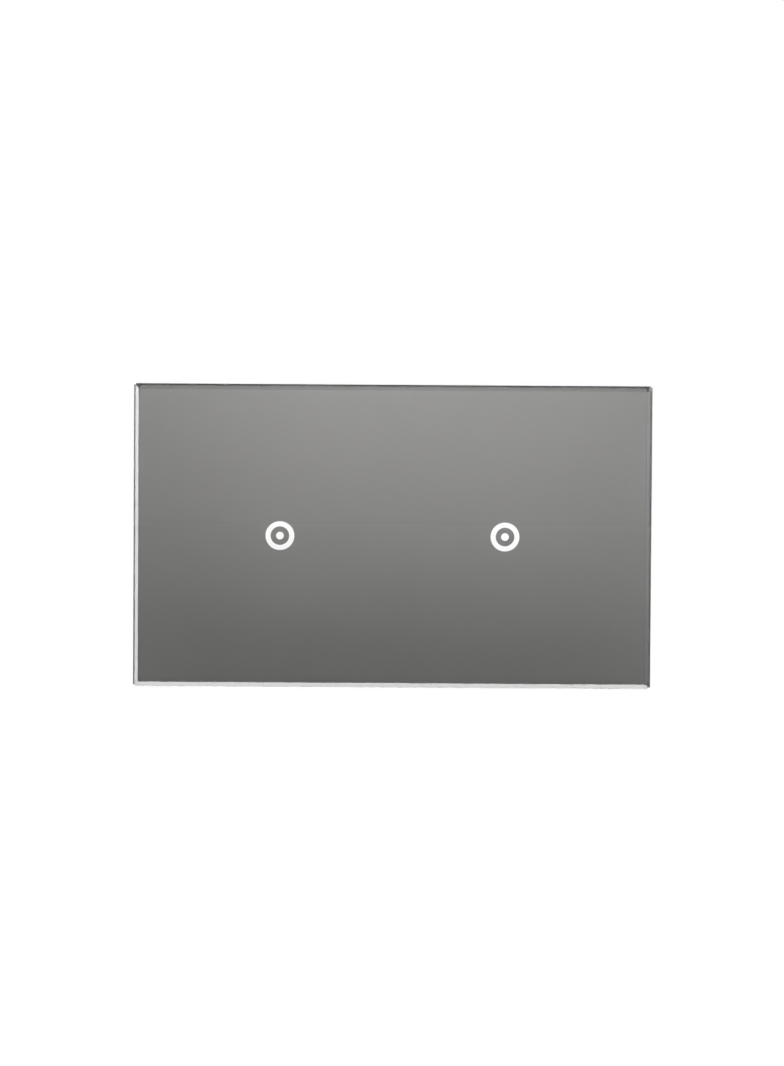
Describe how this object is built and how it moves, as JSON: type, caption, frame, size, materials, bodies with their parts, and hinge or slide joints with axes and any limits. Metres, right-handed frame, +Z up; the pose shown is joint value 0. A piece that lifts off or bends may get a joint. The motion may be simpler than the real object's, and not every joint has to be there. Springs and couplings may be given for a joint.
{
  "type": "touch light switch",
  "caption": "Flat wall light switch with a bevelled grey glass panel, touch rings that switch by capacitive sensing, and relay modules with screw terminals behind.",
  "frame": {"origin": "centre of the plate on the wall plane, midway between the box screws", "axes": "+X to the right along the plate's long side, +Z up, front towards -Y, +Y into the wall"},
  "size_m": [0.147, 0.0359, 0.086],
  "materials": {
    "clear_glass": "polished",
    "grey_enamel": "gloss",
    "white_mark": "gloss",
    "black_tape": "matte",
    "black_frame": "satin",
    "white_base": "satin",
    "zinc_plate": "satin",
    "spring_steel": "satin",
    "zinc_screw": "satin",
    "white_housing": "satin",
    "green_board": "satin",
    "chip_black": "matte",
    "led_clear": "gloss",
    "diffuser_white": "satin",
    "gilt_spring": "gloss",
    "relay_blue": "gloss",
    "copper_winding": "satin",
    "soft_iron": "satin",
    "contact_brass": "satin",
    "yellow_tape": "gloss",
    "capacitor_sleeve": "satin",
    "film_red": "gloss",
    "grey_terminal": "satin"
  },
  "bodies": {
    "base": {"base_frame": "white_base", "mounting_plate": "zinc_plate", "edge_springs": "spring_steel", "frame_screws": "zinc_screw", "box_screws": "zinc_screw", "module_housing_left": "white_housing", "module_cover_left": "white_housing", "touch_board_left": "green_board", "touch_chip_left": "chip_black", "indicator_led_left": "led_clear", "light_guide_left": "diffuser_white", "sensor_spring_left": "gilt_spring", "power_board_left": "green_board", "header_pins_left": "chip_black", "relay_base_left": "chip_black", "relay_cover_left": "relay_blue", "relay_coil_left": "copper_winding", "relay_yoke_left": "soft_iron", "relay_contacts_left": "contact_brass", "transformer_left": "yellow_tape", "capacitor_left": "capacitor_sleeve", "film_capacitor_left": "film_red", "terminal_pods_left": "grey_terminal", "terminal_bars_left": "contact_brass", "module_screws_left": "zinc_screw", "module_housing_right": "white_housing", "module_cover_right": "white_housing", "touch_board_right": "green_board", "touch_chip_right": "chip_black", "indicator_led_right": "led_clear", "light_guide_right": "diffuser_white", "sensor_spring_right": "gilt_spring", "power_board_right": "green_board", "header_pins_right": "chip_black", "relay_base_right": "chip_black", "relay_cover_right": "relay_blue", "relay_coil_right": "copper_winding", "relay_yoke_right": "soft_iron", "relay_contacts_right": "contact_brass", "transformer_right": "yellow_tape", "capacitor_right": "capacitor_sleeve", "film_capacitor_right": "film_red", "terminal_pods_right": "grey_terminal", "terminal_bars_right": "contact_brass", "module_screws_right": "zinc_screw"},
    "cover": {"glass_panel": "clear_glass", "colour_layer": "grey_enamel", "touch_marks": "white_mark", "bonding_tape": "black_tape", "panel_frame": "black_frame"},
    "armature_left": {"relay_armature_left": "soft_iron"},
    "screw_left_1": {"terminal_screw_left_1": "zinc_screw"},
    "clamp_left_1": {"terminal_clamp_left_1": "contact_brass"},
    "screw_left_2": {"terminal_screw_left_2": "zinc_screw"},
    "clamp_left_2": {"terminal_clamp_left_2": "contact_brass"},
    "armature_right": {"relay_armature_right": "soft_iron"},
    "screw_right_1": {"terminal_screw_right_1": "zinc_screw"},
    "clamp_right_1": {"terminal_clamp_right_1": "contact_brass"},
    "screw_right_2": {"terminal_screw_right_2": "zinc_screw"},
    "clamp_right_2": {"terminal_clamp_right_2": "contact_brass"}
  },
  "joints": [
    {"name": "cover_pull", "type": "slide", "parent": "base", "child": "cover", "axis": [0, -1, 0], "range_m": [0, 0.03]},
    {"name": "armature_swing_left", "type": "hinge", "parent": "base", "child": "armature_left", "pos_m": [-0.0424, 0.01926, 0.0026], "axis": [1, 0, 0], "range_deg": [0, 4], "stiffness_Nm_per_rad": 0.004, "springref_deg": -8.59},
    {"name": "screw_turn_left_1", "type": "hinge", "parent": "base", "child": "screw_left_1", "pos_m": [-0.039, 0.018, -0.0186], "axis": [0, -1, 0], "range_deg": [0, 1728]},
    {"name": "clamp_rise_left_1", "type": "slide", "parent": "base", "child": "clamp_left_1", "axis": [0, 1, 0], "range_m": [0, 0.0024]},
    {"name": "screw_turn_left_2", "type": "hinge", "parent": "base", "child": "screw_left_2", "pos_m": [-0.025, 0.018, -0.0186], "axis": [0, -1, 0], "range_deg": [0, 1728]},
    {"name": "clamp_rise_left_2", "type": "slide", "parent": "base", "child": "clamp_left_2", "axis": [0, 1, 0], "range_m": [0, 0.0024]},
    {"name": "armature_swing_right", "type": "hinge", "parent": "base", "child": "armature_right", "pos_m": [0.0216, 0.01926, 0.0026], "axis": [1, 0, 0], "range_deg": [0, 4], "stiffness_Nm_per_rad": 0.004, "springref_deg": -8.59},
    {"name": "screw_turn_right_1", "type": "hinge", "parent": "base", "child": "screw_right_1", "pos_m": [0.025, 0.018, -0.0186], "axis": [0, -1, 0], "range_deg": [0, 1728]},
    {"name": "clamp_rise_right_1", "type": "slide", "parent": "base", "child": "clamp_right_1", "axis": [0, 1, 0], "range_m": [0, 0.0024]},
    {"name": "screw_turn_right_2", "type": "hinge", "parent": "base", "child": "screw_right_2", "pos_m": [0.039, 0.018, -0.0186], "axis": [0, -1, 0], "range_deg": [0, 1728]},
    {"name": "clamp_rise_right_2", "type": "slide", "parent": "base", "child": "clamp_right_2", "axis": [0, 1, 0], "range_m": [0, 0.0024]}
  ],
  "couplings": [
    {"joint": "screw_turn_left_1", "follows": "clamp_rise_left_1", "rad_per_m": 12566},
    {"joint": "screw_turn_left_2", "follows": "clamp_rise_left_2", "rad_per_m": 12566},
    {"joint": "screw_turn_right_1", "follows": "clamp_rise_right_1", "rad_per_m": 12566},
    {"joint": "screw_turn_right_2", "follows": "clamp_rise_right_2", "rad_per_m": 12566}
  ]
}
